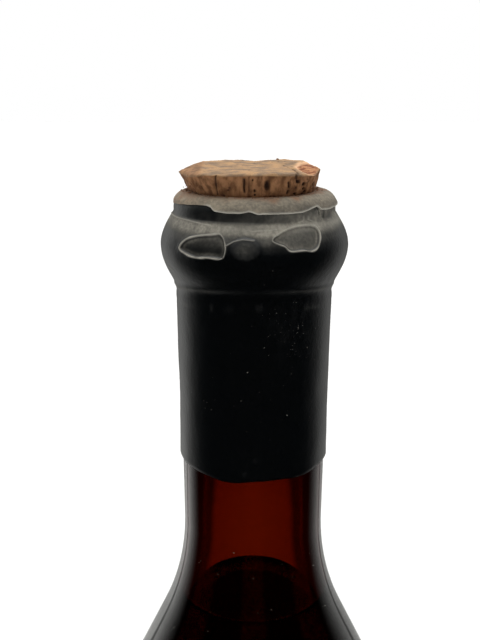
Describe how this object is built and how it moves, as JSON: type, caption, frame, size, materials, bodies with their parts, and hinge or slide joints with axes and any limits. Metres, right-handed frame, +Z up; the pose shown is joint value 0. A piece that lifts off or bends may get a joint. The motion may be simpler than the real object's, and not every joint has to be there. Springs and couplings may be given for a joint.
{
  "type": "wine bottle",
  "caption": "Corked wine bottle of dark amber glass, part full, with a torn black capsule over its neck and the swollen cork standing out of the mouth.",
  "frame": {"origin": "centre of the ring that the bottle stands on", "axes": "+Z up the bottle's axis to the cork; -Y is the front that the picture shows"},
  "size_m": [0.082, 0.082, 0.3],
  "materials": {
    "amber_glass": "smooth dark amber glass",
    "red_wine": "still dark red liquid",
    "black_capsule": "worn black skin with a dull sheen and dust",
    "dusty_capsule": "the same skin under a layer of dust",
    "cork": "old natural cork, cracked and pitted"
  },
  "bodies": {
    "root": {"glass_body": "amber_glass", "glass_neck": "amber_glass", "wine": "red_wine", "capsule_sleeve": "black_capsule", "capsule_cap": "dusty_capsule", "cork": "cork"}
  },
  "joints": []
}
